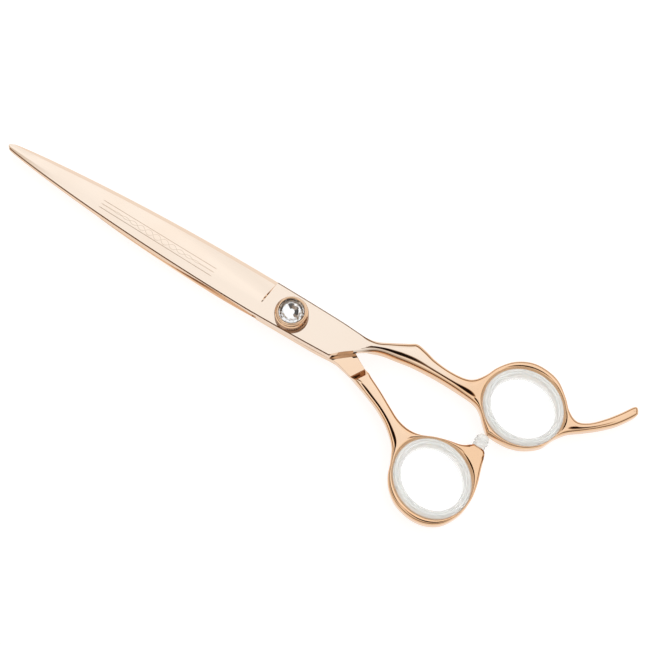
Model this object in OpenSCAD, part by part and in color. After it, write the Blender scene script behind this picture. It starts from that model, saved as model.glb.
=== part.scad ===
// Hair cutting shears: two offset blades on a keyed pivot bolt, with silicone
// ring inserts, a bumper and a crystal-topped tension dial.
// Frame: origin on the pivot axis in the plane the shears rest on, blade tips
// towards -X, finger rings towards +X, dial side +Z. Millimetres.

/* [Blades] */
// Distance from the pivot to the blade tips
tip_reach = 107; // [95:1:115]
// Half of the closed blades' width at the heel, centre line to cutting edge
edge_half = 7.1; // [6.8:0.1:7.4]
// Thickness of one blade at the pivot, with half of the gap between the blades
blade_t = 3.5; // [3.3:0.1:3.6]
// Thickness of one blade at its tip
tip_t = 1.4; // [1:0.1:2]
// Gap left between the two blades' inner faces
ride_gap = 0.1; // [0.05:0.01:0.15]
// Width of the ground bevel along each cutting edge
bevel_w = 1.5; // [1:0.1:2]

/* [Handles] */
// Height of the shanks and of the tang
shank_t = 6; // [5:0.1:6.4]
// Height of the metal of the finger and thumb rings
ring_t = 5.2; // [4.6:0.1:5.8]
// Half length of the finger ring's opening in the metal
finger_a = 12.75; // [12:0.25:13]
// Half width of the finger ring's opening in the metal
finger_b = 11.5; // [11:0.25:12]
// Half length of the thumb ring's opening in the metal
thumb_a = 12.75; // [12:0.25:13]
// Half width of the thumb ring's opening in the metal
thumb_b = 11.25; // [11:0.25:11.5]

/* [Soft parts] */
// Radial thickness of the ring inserts
insert_w = 2.5; // [1.5:0.1:3]
// Largest radius of the bumper
bumper_r = 2.3; // [2:0.1:2.5]
// Gap between the closed bumper and the finger ring
bumper_gap = 0.15; // [0.1:0.05:0.3]

/* [Pivot] */
// Radius of the bolt where the bush turns on it
bolt_r = 2.45; // [2.3:0.05:2.5]
// Radius of the flush bolt head
head_r = 4.2; // [3.8:0.1:4.4]
// Radius of the bolt's threaded end
thread_r = 1.75; // [1.5:0.05:1.9]
// Running clearance of each turning fit
clearance = 0.05; // [0.02:0.01:0.08]

/* [Dial] */
// Outside radius of the knurled dial
dial_r = 5.3; // [5.1:0.1:5.5]
// Height of the dial's top face above the upper blade
dial_top = 3.1; // [2.9:0.1:3.3]
// Outside radius of the crystal's bezel
bezel_r = 4.7; // [4.5:0.1:4.9]
// Height of the bezel's rim above the upper blade
bezel_top = 4.4; // [4.2:0.1:4.6]
// Radius of the round crystal
crystal_r = 4.1; // [3.9:0.05:4.2]
// Count of the knurl's grooves
knurls = 48; // [36:1:60]

/* [Hidden] */
$fn = 64;

rose_gold = "#e8b892";
silicone = "#dfe5e0";
steel = "#b8babd";
brass = "#c9a35a";
white_plastic = "#f2f1ec";
crystal_white = "#eef3f7";

top_z = 2 * blade_t;
bolt_bore_r = bolt_r + clearance;
// Overlap of solids that are joined into one
join = 0.1;
// Space left round a piece that sits in a recess
recess_gap = 0.1;

// Blades
centre_y = 0.4;
plunge_x = -10;
blade_len = tip_reach + plunge_x + 1;
blade_steps = 28;
tip_round = 1.2;
tip_half = 0.7;
spine_ratio = 0.88;
bevel_rise = 0.36;
face_step = 0.06;
spine_chamfer = 0.4;
// Where the outer face bends down towards the edge, as a share of the half width, and its height there
bend_y = 0.4;
bend_z = 0.82;
flat_y = -0.1;

// Bolt, bush and washers
head_t = 1.6;
head_flat = 3.4;
bush_r = 3.4;
flange_r = 4.5;
flange_t = 0.6;
washer_r = 5.2;
washer_hole_r = 3.8;
washer_sink = 0.2;
thrust_r = 4.6;
thrust_t = 0.25;
spring_r = 4.2;
spring_t = 0.5;
spring_strip = 0.2;
spring_lip = 0.4;
plate_r = 4.3;
plate_t = 0.45;
flat_half = 1.4;
dimples = 12;
dimple_circle_r = 3.2;
dimple_r = 0.3;
dimple_depth = 0.15;
spring_z = top_z + thrust_t;
plate_z = spring_z + spring_t;
plate_top = plate_z + plate_t;
// Top of the bolt's flats, clear of the plate at the end of the dial's travel
flats_top = plate_top + 0.2;

// Dial, bezel and crystal
dial_z = top_z + 0.35;
dial_end_z = top_z + dial_top;
skirt_r = 4.8;
plate_gap = 0.05;
bezel_seat_r = 4.3;
bezel_sink = 0.9;
bezel_chamfer = 0.3;
bolt_top = dial_end_z - bezel_sink - 0.2;
lip_r = 3.85;
lip_t = 0.35;
lip_chamfer = 0.15;
seat_chamfer = 0.3;
crystal_t = 1.9;
crown_t = 0.8;
crown_in = 0.35;
table_r = 2.2;
crown_facets = 16;
knurl_r = 0.22;
knurl_out = 0.08;
rim_z = top_z + bezel_top;
crown_z = rim_z - lip_t - seat_chamfer;

// Rings: centres, turns of the long axes
finger_c = [75, 13.3];
finger_turn = -9;
thumb_c = [63, -20.3];
thumb_turn = -22;
ring_steps = 72;
// Step in the inserts' outer wall, above and below the metal
insert_step = 0.3;

// Where the full shank height starts behind each heel, and where it drops to the ring's height
finger_shank_x = 26;
finger_ring_x = 61;
thumb_shank_x = 20;
thumb_ring_x = 49;

// Bumper
lug_y = -4.6;
bumper_x = 69.6;
facet_y = 0.25;
bumper_len = facet_y - bumper_gap - lug_y;
stem_r = 1;
stem_len = 1.4;
groove_r = 0.25;
neck_in = 0.2;

// Walls of the flat heel of the upper blade: edge side, spine side and plunge line
upper_heel = [[-9, 6.7], [5, 6.65], [15, 6.5], [21, 6.2], [24, 6.2], [27, 7.2], [31, 9.6]];
upper_heel_back = [[30, 4.7], [27, 3.6], [24, 1.4], [20, -1.8], [16.5, -4.8]];
upper_spine = [[16.5, -4.8], [10, -5.1], [0, -5.4], [plunge_x - 3, -5.8]];
upper_plunge = [[plunge_x - 0.7, -0.5], [plunge_x, 6.7]];

// Walls of the flat heel of the lower blade: spine side, edge side and plunge line
lower_heel = [[plunge_x - 3, 6.5], [0, 6.3], [9, 6], [15, 4.8], [20, 2.5], [25, -0.3], [32, -3.8]];
lower_heel_back = [[30, -8], [25, -6.2], [20, -4.9], [17, -4.7]];
lower_edge = [[17, -4.7], [10, -5.2], [-9, -5.5]];
lower_plunge = [[plunge_x, -5.5], [plunge_x - 0.7, 1]];

// Finger shank, ring and tang: the outer side, the tang's end and the inner side
finger_outer = [[26, 6.8], [30, 9.1], [35, 12.1], [37.5, 13.4], [41, 12.8], [45, 11.7], [50, 11.2],
                [55, 11.6], [58, 13], [60.3, 16.2], [62, 20], [65.3, 24.2], [70, 26.9], [75, 27.4],
                [80, 26.2], [84.5, 22.8], [87.5, 19.8], [91, 18.3], [94.5, 19.9], [98, 23.6],
                [101, 27.7], [103.2, 31.2]];
tang_end = [[103.2, 31.2], [104.4, 31.9], [105.5, 30.8], [105.6, 29.2]];
finger_inner = [[105.6, 29.2], [102, 24], [98, 19.8], [94, 16.4], [90.5, 13.6], [88, 10.2],
                [85.8, 5.6], [82, 2.4], [78, 0.7], [74, 0.2], [71, facet_y], [69.6, 0.4],
                [67, 2.6], [64.5, 5], [61.5, 6.5], [56, 7], [48, 7.1], [40, 6.5], [34, 5.4],
                [28, 4]];

// Thumb shank and ring: the inner side up to the lug, then round the outer side
thumb_inner = [[30, -2.8], [36, -5.8], [41, -8.4], [45, -10.3], [49, -11.1], [53, -10.6],
               [57, -8.9], [61, -7.6], [65, -6.6], [67.8, -5]];
thumb_lug = [[68.2, lug_y], [71, lug_y], [72.4, -5.4], [74, -10]];
thumb_outer = [[74, -10], [75.6, -15], [76.3, -20], [75.6, -25.5], [72.8, -30.6], [68.5, -33.4],
               [63.5, -34.1], [58, -32.9], [54, -30.3], [51.3, -26.8], [49.6, -22.5], [47.2, -18],
               [43, -14.1], [38, -11.1], [32, -8.7], [27.5, -7.1]];

// Point of a curve that passes smoothly through b and c, with neighbours a and d
function curve_point(a, b, c, d, t) =
    0.5 * ((2 * b) + (c - a) * t + (2 * a - 5 * b + 4 * c - d) * t * t
           + (3 * b - a - 3 * c + d) * t * t * t);

// Open smooth curve through the points p, with n steps in each interval
function curve(p, n = 4) = [
    for (i = [0:len(p) - 2]) for (k = [0:n - 1])
        curve_point(p[max(i - 1, 0)], p[i], p[i + 1], p[min(i + 2, len(p) - 1)], k / n)
];

// Half width of the closed blades at a distance u from the tips
function edge_at(u) =
    tip_half * (u < tip_round ? sqrt(1 - pow(1 - u / tip_round, 2)) : 1)
    + (edge_half - tip_half) * sin(90 * pow(u / blade_len, 0.8));

// Distance from the tip of blade station i, closer together towards the tip
function station(i) = 0.05 + (blade_len - 0.05) * pow(i / blade_steps, 1.6);

// Cross-section of a blade at station i: y to the cutting edge's side, z to the outer face
function blade_section(u) =
    let (h = edge_at(u), s = spine_ratio * h, w = min(bevel_w, 0.7 * h),
         t = tip_t + (blade_t - face_step - tip_t) * u / blade_len, c = min(spine_chamfer, 0.3 * s))
    [[h, ride_gap / 2], [h - w, bevel_rise * t], [bend_y * h, bend_z * t], [flat_y * h, t],
     [c - s, t], [-s, t - c], [-s, ride_gap / 2]];

// Lofted blade, from the tip to just behind the plunge line, edge towards side
module lofted_blade(side) {
    n = 7;
    sections = [for (i = [0:blade_steps]) let (u = station(i)) [for (q = blade_section(u))
                [u - tip_reach, centre_y + side * q[0], blade_t + side * q[1]]]];
    last = blade_steps * n;
    polyhedron(
        points = [for (s = sections) each s],
        faces = concat(
            [[for (k = [0:n - 1]) k]],
            [[for (k = [0:n - 1]) last + n - 1 - k]],
            [for (i = [0:blade_steps - 1]) for (k = [0:n - 1])
                let (a = i * n + k, b = i * n + (k + 1) % n) [a, b + n, b]],
            [for (i = [0:blade_steps - 1]) for (k = [0:n - 1])
                let (a = i * n + k, b = i * n + (k + 1) % n) [a, a + n, b + n]]));
}

// Oval of half length a and half width b, turned about its centre
module oval(c, a, b, turn) {
    translate(c) rotate(turn)
        polygon([for (i = [0:ring_steps - 1]) let (g = 360 * i / ring_steps) [a * cos(g), b * sin(g)]]);
}

// Slice from x0 to x1 of a plate of an outline, centred on the blades' meeting plane
module centred_slice(height, x0, x1) {
    intersection() {
        translate([0, 0, blade_t - height / 2]) linear_extrude(height) children();
        translate([x0, -tip_reach, 0]) cube([x1 - x0, 2 * tip_reach, top_z]);
    }
}

module tube(r_out, r_in, z0, z1) {
    translate([0, 0, z0]) difference() {
        cylinder(r = r_out, h = z1 - z0);
        translate([0, 0, -1]) cylinder(r = r_in, h = z1 - z0 + 2);
    }
}

// Round bar with two flats, for the keyed head and the bolt's flats
module flatted(r, half, z0, z1) {
    translate([0, 0, z0]) intersection() {
        cylinder(r = r, h = z1 - z0);
        translate([-half, -2 * r, -1]) cube([2 * half, 4 * r, z1 - z0 + 2]);
    }
}

module finger_outline() {
    polygon(concat(curve(finger_outer), curve(tang_end), curve(finger_inner)));
}

module thumb_outline() {
    polygon(concat(curve(thumb_inner), curve(thumb_lug), curve(thumb_outer)));
}

// Upper blade with the finger shank, ring and tang
module finger_half() {
    color(rose_gold) difference() {
        union() {
            lofted_blade(1);
            translate([0, 0, blade_t + ride_gap / 2]) linear_extrude(blade_t - ride_gap / 2)
                polygon(concat(curve(upper_heel), curve(upper_heel_back), curve(upper_spine), upper_plunge));
            centred_slice(shank_t, finger_shank_x, finger_ring_x + 1) finger_outline();
            centred_slice(ring_t, finger_ring_x, 2 * finger_ring_x) finger_outline();
        }
        translate([0, 0, -1]) linear_extrude(top_z + 2) oval(finger_c, finger_a, finger_b, finger_turn);
        cylinder(r = bush_r, h = top_z + 1);
        translate([0, 0, top_z - flange_t]) cylinder(r = flange_r, h = 2);
        translate([0, 0, blade_t - 1]) cylinder(r = washer_r + recess_gap, h = 1.02 + washer_sink);
    }
}

// Lower blade with the thumb shank, ring and lug
module thumb_half() {
    color(rose_gold) difference() {
        union() {
            lofted_blade(-1);
            linear_extrude(blade_t - ride_gap / 2)
                polygon(concat(curve(lower_heel), curve(lower_heel_back), curve(lower_edge), lower_plunge));
            centred_slice(shank_t, thumb_shank_x, thumb_ring_x + 1) thumb_outline();
            centred_slice(ring_t, thumb_ring_x, 2 * thumb_ring_x) thumb_outline();
        }
        translate([0, 0, -1]) linear_extrude(top_z + 2) oval(thumb_c, thumb_a, thumb_b, thumb_turn);
        translate([0, 0, -1]) cylinder(r = bolt_bore_r, h = top_z);
        flatted(head_r, head_flat, -1, head_t);
        translate([0, 0, blade_t - washer_sink]) cylinder(r = washer_r + recess_gap, h = 2);
        translate([bumper_x, lug_y, blade_t]) rotate([-90, 0, 0]) {
            cylinder(r = bumper_r + recess_gap, h = 2);
            translate([0, 0, -stem_len]) cylinder(r = stem_r, h = stem_len + join);
        }
    }
}

// Soft lining of a ring, as high as the two blades together
module ring_insert(c, a, b, turn) {
    translate([0, 0, blade_t - ring_t / 2]) linear_extrude(ring_t) difference() {
        oval(c, a, b, turn);
        oval(c, a - insert_w, b - insert_w, turn);
    }
    for (z = [0, blade_t + ring_t / 2])
        translate([0, 0, z]) linear_extrude(blade_t - ring_t / 2) difference() {
            oval(c, a - insert_step, b - insert_step, turn);
            oval(c, a - insert_w, b - insert_w, turn);
        }
}

module finger_ring_insert() {
    color(silicone) ring_insert(finger_c, finger_a, finger_b, finger_turn);
}

module thumb_ring_insert() {
    color(silicone) ring_insert(thumb_c, thumb_a, thumb_b, thumb_turn);
}

// Ribbed silencer, turned about its own axis along +Y, with a stem in the lug
module bumper() {
    r = bumper_r;
    color(silicone) translate([bumper_x, lug_y, blade_t]) rotate([-90, 0, 0]) rotate_extrude() {
        translate([0, -stem_len]) square([stem_r, stem_len + join]);
        difference() {
            intersection() {
                translate([0, bumper_len - r]) circle(r = r);
                square([r, bumper_len]);
            }
            translate([r, 0.45 * bumper_len]) circle(r = groove_r);
        }
        difference() {
            square([r - neck_in, bumper_len - r]);
            translate([r, 0.2 * bumper_len]) circle(r = groove_r);
        }
    }
}

// Bolt: keyed head flush with the lower blade, plain journal, flats and thread
module pivot_bolt() {
    color(steel) {
        flatted(head_r, head_flat, 0, head_t);
        translate([0, 0, head_t - join]) cylinder(r = bolt_r, h = top_z - head_t + join);
        flatted(thread_r, flat_half, top_z - join, flats_top + join);
        translate([0, 0, flats_top]) cylinder(r = thread_r, h = bolt_top - flats_top);
    }
}

// Flanged bronze bush in the upper blade, flush with its face
module pivot_bush() {
    color(brass) {
        tube(bush_r, bolt_bore_r, blade_t + ride_gap / 2, top_z);
        tube(flange_r, bolt_bore_r, top_z - flange_t, top_z);
    }
}

module blade_washer() {
    color(white_plastic) tube(washer_r, washer_hole_r, blade_t - washer_sink, blade_t + washer_sink);
}

module thrust_washer() {
    color(white_plastic) tube(thrust_r, bolt_bore_r, top_z, spring_z);
}

// Cupped spring washer, wide below and narrow above
module spring_washer() {
    s = spring_strip;
    color(steel) translate([0, 0, spring_z]) rotate_extrude()
        polygon([[spring_r - spring_lip, 0], [spring_r, 0], [spring_r, s], [bolt_r + spring_lip, spring_t],
                 [bolt_r, spring_t], [bolt_r, spring_t - s]]);
}

// Keyed plate that follows the bolt's flats, with dimples for the dial's clicks
module click_plate() {
    color(steel) difference() {
        translate([0, 0, plate_z]) cylinder(r = plate_r, h = plate_t);
        flatted(thread_r + clearance, flat_half + clearance, plate_z - 1, plate_top + 1);
        for (i = [0:dimples - 1]) rotate(360 * i / dimples)
            translate([dimple_circle_r, 0, plate_top - dimple_depth]) cylinder(r = dimple_r, h = 1, $fn = 16);
    }
}

// Knurled nut with a skirt over the washers and a seat for the bezel
module tension_dial() {
    color(rose_gold) difference() {
        translate([0, 0, dial_z]) cylinder(r = dial_r, h = dial_end_z - dial_z);
        translate([0, 0, dial_z - 1]) cylinder(r = skirt_r, h = plate_top + plate_gap - dial_z + 1);
        cylinder(r = thread_r + clearance, h = dial_end_z);
        translate([0, 0, dial_end_z - bezel_sink]) cylinder(r = bezel_seat_r, h = 2);
        for (i = [0:knurls - 1]) rotate(360 * i / knurls)
            translate([dial_r + knurl_out, 0, dial_z - 1]) cylinder(r = knurl_r, h = 5, $fn = 6);
    }
}

// Rim that holds the crystal, pressed into the dial
module crystal_bezel() {
    seat_z = dial_end_z - bezel_sink;
    color(rose_gold) rotate_extrude()
        polygon([[0, seat_z], [bezel_seat_r, seat_z], [bezel_seat_r, dial_end_z], [bezel_r, dial_end_z],
                 [bezel_r, rim_z - bezel_chamfer], [bezel_r - bezel_chamfer, rim_z],
                 [lip_r + lip_chamfer, rim_z], [lip_r, rim_z - lip_t], [crystal_r, crown_z],
                 [crystal_r, rim_z - crystal_t], [0, rim_z - crystal_t]]);
}

// Flat-backed crystal with a faceted crown
module crystal() {
    base_z = rim_z - crystal_t;
    color(crystal_white) {
        translate([0, 0, base_z]) cylinder(r = crystal_r, h = crown_z - base_z);
        translate([0, 0, crown_z - join])
            cylinder(r1 = crystal_r - crown_in, r2 = table_r, h = crown_t + join, $fn = crown_facets);
    }
}

finger_half();
thumb_half();
finger_ring_insert();
thumb_ring_insert();
bumper();
pivot_bolt();
pivot_bush();
blade_washer();
thrust_washer();
spring_washer();
click_plate();
tension_dial();
crystal_bezel();
crystal();
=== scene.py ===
"""Looks of the hair cutting shears: polished rose gold halves, clear soft parts and a crystal dial.

Lengths are in millimetres until a mesh is finished. Both halves are shaped in one local frame, with
the cutting edge towards +Y and the outer face towards +Z; the lower half is then turned over about
the X axis.
"""

from __future__ import annotations

import logging
import math
from dataclasses import dataclass, field
from enum import Enum, IntEnum
from typing import Any, Callable, Optional, Sequence, Union

import bmesh
import bpy
from mathutils import Matrix, Vector


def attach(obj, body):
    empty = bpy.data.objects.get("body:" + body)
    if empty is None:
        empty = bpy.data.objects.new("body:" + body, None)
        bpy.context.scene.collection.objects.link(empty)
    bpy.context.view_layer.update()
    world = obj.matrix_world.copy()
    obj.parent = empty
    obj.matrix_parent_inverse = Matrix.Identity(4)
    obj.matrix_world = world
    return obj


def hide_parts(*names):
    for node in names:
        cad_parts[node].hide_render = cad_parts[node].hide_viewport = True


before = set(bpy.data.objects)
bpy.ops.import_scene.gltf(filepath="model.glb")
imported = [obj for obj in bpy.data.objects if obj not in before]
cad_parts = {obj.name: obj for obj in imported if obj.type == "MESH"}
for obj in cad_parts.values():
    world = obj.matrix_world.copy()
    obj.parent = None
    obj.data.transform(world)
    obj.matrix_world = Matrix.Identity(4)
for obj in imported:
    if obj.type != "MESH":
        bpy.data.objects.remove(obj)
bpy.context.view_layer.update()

LOG = logging.getLogger("shears")
MM = 0.001
TOP = 7.0
MEETING = 3.5
RIDE_GAP = 0.1
QUARTER = math.pi / 2
MERGE_GAP = 1e-4
CUT_GAP = 1e-5
NEARLY_NONE = 1e-6
EVEN_WEIGHT = 50
FAR = 60.0
PARALLEL = 1e-9

Point = tuple[float, float]
Colour = tuple[float, float, float, float]


# ----------------------------------------------------------------------------------------------------
# Small maths


def blend(a: float, b: float, t: float) -> float:
    """The value a share t of the way from a to b."""
    return a + (b - a) * t


def ease(start: float, end: float, x: float) -> float:
    """A smooth rise from 0 at start to 1 at end."""
    t = min(max((x - start) / (end - start), 0.0), 1.0)
    return t * t * (3 - 2 * t)


def smooth_run(points: Sequence[Point], spacing: float) -> list[Vector]:
    """A smooth open run through given points.

    Args:
        points: The points that the run passes through.
        spacing: The greatest distance between neighbours on the run.

    Returns:
        The run's points, both ends among them.
    """
    knots = [Vector(p) for p in points]
    out: list[Vector] = []
    for i in range(len(knots) - 1):
        a, b = knots[max(i - 1, 0)], knots[i]
        c, d = knots[i + 1], knots[min(i + 2, len(knots) - 1)]
        steps = max(1, math.ceil((c - b).length / spacing))
        for k in range(steps):
            t = k / steps
            squared, cubed = (2 * a - 5 * b + 4 * c - d) * t * t, (3 * b - a - 3 * c + d) * t**3
            out.append(0.5 * (2 * b + (c - a) * t + squared + cubed))
    out.append(knots[-1])
    return out


def joined_runs(runs: Sequence[Sequence[Point]], spacing: float) -> list[Vector]:
    """Smooth runs end to end, with a sharp corner where one meets the next."""
    out: list[Vector] = []
    for run in runs:
        made = smooth_run(run, spacing)
        out.extend(made[1:] if out and (made[0] - out[-1]).length < NEARLY_NONE else made)
    return out


def height_on(points: Sequence[Point], x: float) -> float:
    """The y of a run of straight pieces at x."""
    for (x0, y0), (x1, y1) in zip(points, points[1:]):
        if x0 <= x <= x1:
            return blend(y0, y1, (x - x0) / (x1 - x0))
    return points[0][1] if x < points[0][0] else points[-1][1]


# ----------------------------------------------------------------------------------------------------
# Mesh helpers


def ring_edges(bm: bmesh.types.BMesh, ring: Sequence, closed: bool) -> list:
    """The edges between the neighbours of a ring, made where there are none."""
    pairs = zip(ring, list(ring[1:]) + ([ring[0]] if closed else []))
    return [bm.edges.get(p) or bm.edges.new(p) for p in pairs]


def sweep(bm: bmesh.types.BMesh, ring: Sequence, places: Sequence[Vector], closed: bool) -> list:
    """Extrudes a run of edges and puts each new vertex in its place.

    Args:
        bm: The mesh that is being made.
        ring: The vertices of the run, in order.
        places: Where the new vertices go, one for each vertex of the run.
        closed: Whether the run's last vertex joins its first.

    Returns:
        The new vertices, in the same order.
    """
    made = bmesh.ops.extrude_edge_only(bm, edges=ring_edges(bm, ring, closed))["geom"]
    fresh = {v for v in made if isinstance(v, bmesh.types.BMVert)}
    out = []
    for vert, place in zip(ring, places):
        twin = next(e.other_vert(vert) for e in vert.link_edges if e.other_vert(vert) in fresh)
        twin.co = place
        out.append(twin)
    return out


def first_ring(bm: bmesh.types.BMesh, places: Sequence[Vector], closed: bool) -> list:
    """A run of new vertices joined by edges."""
    verts = [bm.verts.new(p) for p in places]
    for a, b in zip(verts, verts[1:] + (verts[:1] if closed else [])):
        bm.edges.new((a, b))
    return verts


def with_edges(faces: Sequence) -> list:
    """Faces with their edges and vertices, each once and in a fixed order."""
    edges = dict.fromkeys(e for f in faces for e in f.edges)
    verts = dict.fromkeys(v for f in faces for v in f.verts)
    return list(faces) + list(edges) + list(verts)


def close_up(bm: bmesh.types.BMesh) -> None:
    """Merges doubles and turns every face outward."""
    bmesh.ops.remove_doubles(bm, verts=bm.verts, dist=MERGE_GAP)
    bmesh.ops.recalc_face_normals(bm, faces=bm.faces)


class Lathe(Enum):
    """Which way the axis of a turned piece points."""

    UP = (0, 0, 1)
    ACROSS = (0, 1, 0)


def spun(profile: Sequence[Point], steps: int, lathe: Lathe = Lathe.UP) -> bmesh.types.BMesh:
    """A closed shape turned on a lathe.

    Args:
        profile: Radius and height of each corner. An end on the axis is closed there; a profile
            that stays off it is a loop.
        steps: How many steps make the full turn.
        lathe: The way that the axis points.

    Returns:
        The mesh, its doubles merged and its faces outward.
    """
    bm = bmesh.new()
    closed = profile[0][0] > NEARLY_NONE
    up = lathe is Lathe.UP
    ring = first_ring(bm, [Vector((r, 0, h)) if up else Vector((r, h, 0)) for r, h in profile], closed)
    bmesh.ops.spin(
        bm, geom=list(ring) + ring_edges(bm, ring, closed), cent=(0, 0, 0),
        axis=lathe.value, angle=2 * math.pi, steps=steps, use_merge=True,
    )
    close_up(bm)
    return bm


def crease(bm: bmesh.types.BMesh, angle: float) -> None:
    """Shades the mesh smooth, apart from edges that turn by more than an angle in degrees."""
    limit = math.radians(angle)
    for face in bm.faces:
        face.smooth = True
    for edge in bm.edges:
        edge.smooth = len(edge.link_faces) == 2 and edge.calc_face_angle(0.0) < limit


def finished(
    bm: bmesh.types.BMesh, name: str, body: str, node: str, slot: str, coats: Sequence[bpy.types.Material]
) -> bpy.types.Object:
    """Turns a mesh in millimetres into a dressed piece that rides on its body in place of its CAD node.

    Args:
        bm: The mesh, which is freed.
        name: The piece's name.
        body: The body that it moves with.
        node: The CAD node that it stands for.
        slot: The record's material slot; not used.
        coats: The materials, in the order of the faces' material numbers.

    Returns:
        The piece.
    """
    bmesh.ops.scale(bm, vec=(MM, MM, MM), verts=bm.verts)
    mesh = bpy.data.meshes.new(name)
    bm.to_mesh(mesh)
    bm.free()
    piece = bpy.data.objects.new(name, mesh)
    bpy.context.scene.collection.objects.link(piece)
    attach(piece, body)
    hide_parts(node)
    for coat in coats:
        mesh.materials.append(coat)
    LOG.info("%s: %d faces on %s", name, len(mesh.polygons), body)
    return piece


def even_shading(piece: bpy.types.Object) -> None:
    """Weights the normals by face size, so that flats stay flat beside narrow roundings."""
    mod = piece.modifiers.new("even_shading", "WEIGHTED_NORMAL")
    mod.keep_sharp = True
    mod.weight = EVEN_WEIGHT


# ----------------------------------------------------------------------------------------------------
# Shader helpers

Value = Union["Signal", float]


class Signal:
    """A shader socket that takes part in Python expressions."""

    def __init__(self, sheet: "Sheet", socket: bpy.types.NodeSocket) -> None:
        """Wraps the output socket of a node on a sheet."""
        self.sheet = sheet
        self.socket = socket

    def _maths(self, operation: str, a: Value, b: Value) -> "Signal":
        """Adds a Math node on two values."""
        return self.sheet.node("ShaderNodeMath", {"operation": operation}, {0: a, 1: b})

    def __add__(self, other: Value) -> "Signal":
        """Sum."""
        return self._maths("ADD", self, other)

    def __radd__(self, other: Value) -> "Signal":
        """Sum, with the number first."""
        return self._maths("ADD", other, self)

    def __sub__(self, other: Value) -> "Signal":
        """Difference."""
        return self._maths("SUBTRACT", self, other)

    def __rsub__(self, other: Value) -> "Signal":
        """Difference, with the number first."""
        return self._maths("SUBTRACT", other, self)

    def __mul__(self, other: Value) -> "Signal":
        """Product."""
        return self._maths("MULTIPLY", self, other)

    def __rmul__(self, other: Value) -> "Signal":
        """Product, with the number first."""
        return self._maths("MULTIPLY", other, self)

    def __truediv__(self, other: Value) -> "Signal":
        """Quotient."""
        return self._maths("DIVIDE", self, other)

    def absolute(self) -> "Signal":
        """Size without sign."""
        return self._maths("ABSOLUTE", self, 0.0)

    def sine(self) -> "Signal":
        """Sine of an angle in radians."""
        return self._maths("SINE", self, 0.0)

    def rise(self, start: float, end: float) -> "Signal":
        """A smooth rise from 0 at start to 1 at end."""
        settings = {"interpolation_type": "SMOOTHSTEP"}
        values = {0: self, 1: start, 2: end, 3: 0.0, 4: 1.0}
        return self.sheet.node("ShaderNodeMapRange", settings, values)


class Sheet:
    """A node sheet, cleared and written anew."""

    def __init__(self, tree: bpy.types.NodeTree) -> None:
        """Clears the sheet."""
        self.tree = tree
        self.tree.nodes.clear()

    def node(self, kind: str, settings: dict[str, Any], values: dict[Any, Any], out: Any = 0) -> Any:
        """Adds any node.

        Args:
            kind: The node's type.
            settings: Its settings, set before its sockets; "stops" sets a ramp's stops.
            values: Numbers, tuples or Signals for its inputs, by name or index.
            out: The output to return, by name or index, or None for a node at the end.

        Returns:
            The output as a Signal.
        """
        made = self.tree.nodes.new(kind)
        for key, value in settings.items():
            if key == "stops":
                while len(made.color_ramp.elements) < len(value):
                    made.color_ramp.elements.new(0.5)
                for element, (place, colour) in zip(made.color_ramp.elements, value):
                    element.position, element.color = place, colour
            else:
                setattr(made, key, value)
        for key, value in values.items():
            self.feed(made.inputs[key], value)
        return Signal(self, made.outputs[out]) if out is not None else None

    def feed(self, socket: bpy.types.NodeSocket, value: Any) -> None:
        """Links a Signal to a socket, or sets a number on it."""
        if isinstance(value, Signal):
            self.tree.links.new(value.socket, socket)
        else:
            socket.default_value = value

    def place(self) -> Signal:
        """The place on the piece, in metres."""
        return self.node("ShaderNodeTexCoord", {}, {}, "Object")

    def part(self, vector: Signal, name: str) -> Signal:
        """One part of a vector: X, Y or Z."""
        return self.node("ShaderNodeSeparateXYZ", {}, {0: vector}, name)

    def axis(self, name: str) -> Signal:
        """One coordinate of the place, in millimetres."""
        return self.part(self.place(), name) * (1 / MM)

    def noise(self, scale: float, detail: float = 2.0, stretch: Optional[tuple] = None) -> Signal:
        """Soft noise from 0 to 1.

        Args:
            scale: How many features there are in a metre.
            detail: The octaves of finer detail.
            stretch: Scale of each axis, for streaks.

        Returns:
            The noise as a Signal.
        """
        where = self.place()
        if stretch:
            where = self.node("ShaderNodeMapping", {}, {"Vector": where, "Scale": stretch})
        return self.node("ShaderNodeTexNoise", {}, {"Vector": where, "Scale": scale, "Detail": detail})

    def colour_mix(self, share: Value, a: Any, b: Any) -> Signal:
        """A colour a share of the way from a to b."""
        return self.node("ShaderNodeMix", {"data_type": "RGBA"}, {0: share, 6: a, 7: b}, 2)


class Coat(Sheet):
    """The node sheet of one material, with a Principled shader on its output."""

    def __init__(self, name: str) -> None:
        """Makes the material and its shader."""
        self.material = bpy.data.materials.new(name)
        self.material.use_nodes = True
        super().__init__(self.material.node_tree)
        shader = self.node("ShaderNodeBsdfPrincipled", {}, {})
        self.shader = shader.socket.node
        self.node("ShaderNodeOutputMaterial", {}, {0: shader}, None)

    def set(self, **values: Any) -> None:
        """Feeds the shader's sockets; an underscore stands for a space."""
        for key, value in values.items():
            self.feed(self.shader.inputs[key.replace("_", " ")], value)

    def bump(self, height: Signal, strength: float, distance: float) -> None:
        """Raises the surface by a height signal; distance is in metres."""
        values = {"Height": height, "Strength": strength, "Distance": distance}
        self.set(Normal=self.node("ShaderNodeBump", {}, values, "Normal"))


def rgb(r: float, g: float, b: float) -> Colour:
    """An opaque colour."""
    return (r, g, b, 1.0)


# ----------------------------------------------------------------------------------------------------
# Finishes


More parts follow.
